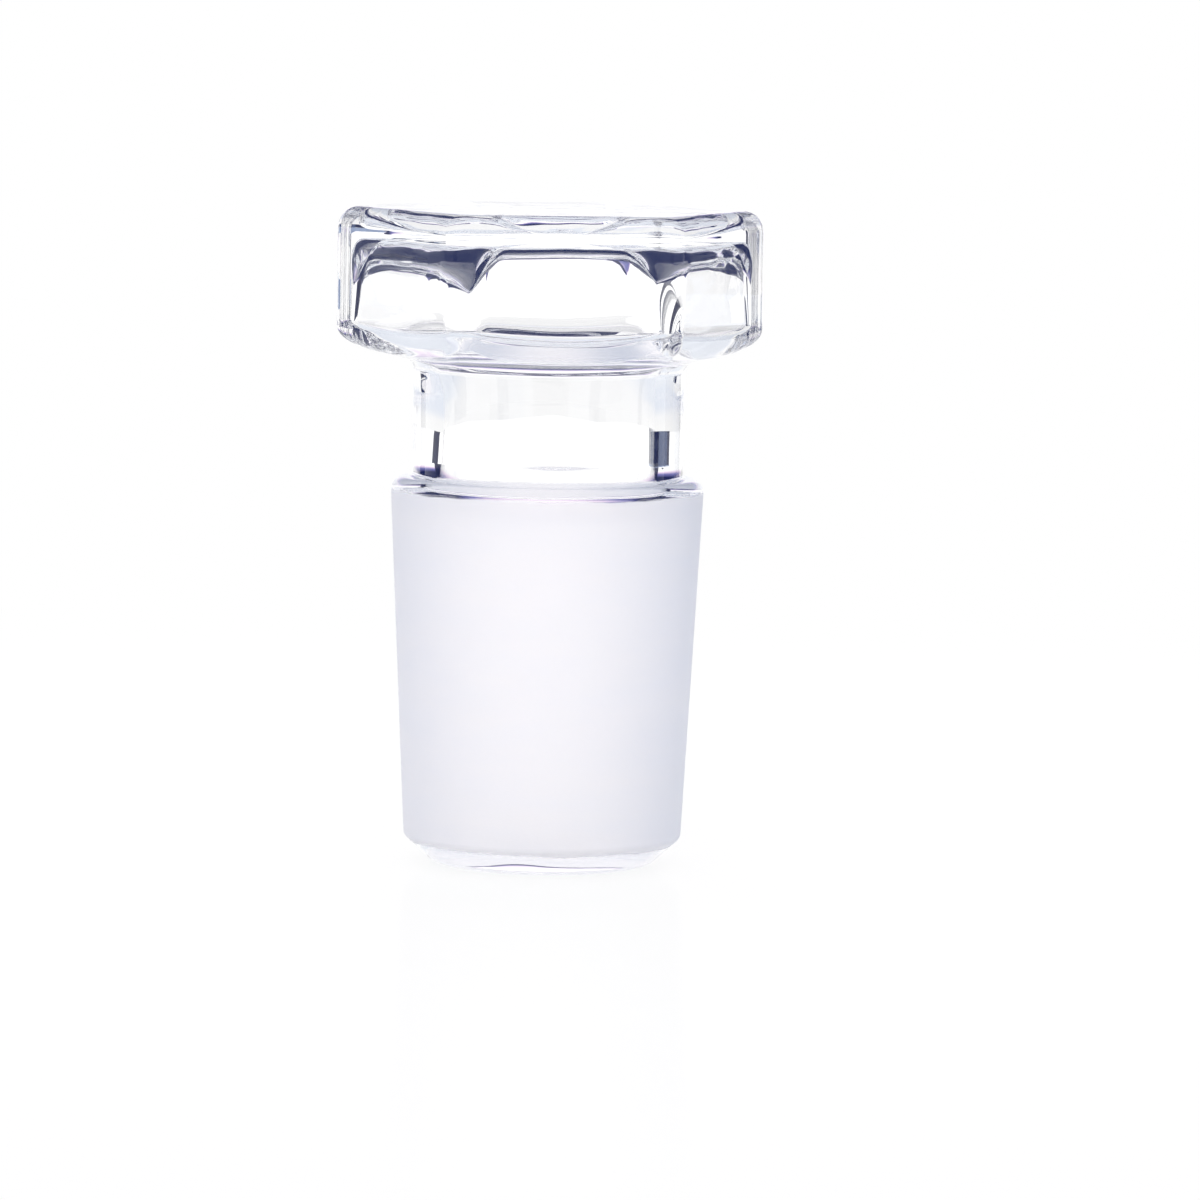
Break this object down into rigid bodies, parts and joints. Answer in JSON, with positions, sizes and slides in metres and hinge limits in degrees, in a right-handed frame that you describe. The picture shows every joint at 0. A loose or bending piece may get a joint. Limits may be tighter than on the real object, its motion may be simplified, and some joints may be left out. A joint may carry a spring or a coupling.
{
  "type": "glass stopper",
  "caption": "Hollow blown glass stopper: six-sided head, round neck and ground cone with a closed, slightly dished foot.",
  "frame": {"origin": "middle of the closed foot's standing ring, at the lowest level of the part", "axes": "+Z along the axis of the cone from foot to head; two flats of the head face -Y and +Y"},
  "size_m": [0.0398, 0.0354, 0.0614],
  "materials": {
    "glass": "clear borosilicate glass, fire polished, with a fine ground cone"
  },
  "bodies": {
    "root": {"stopper": "glass"}
  },
  "joints": []
}
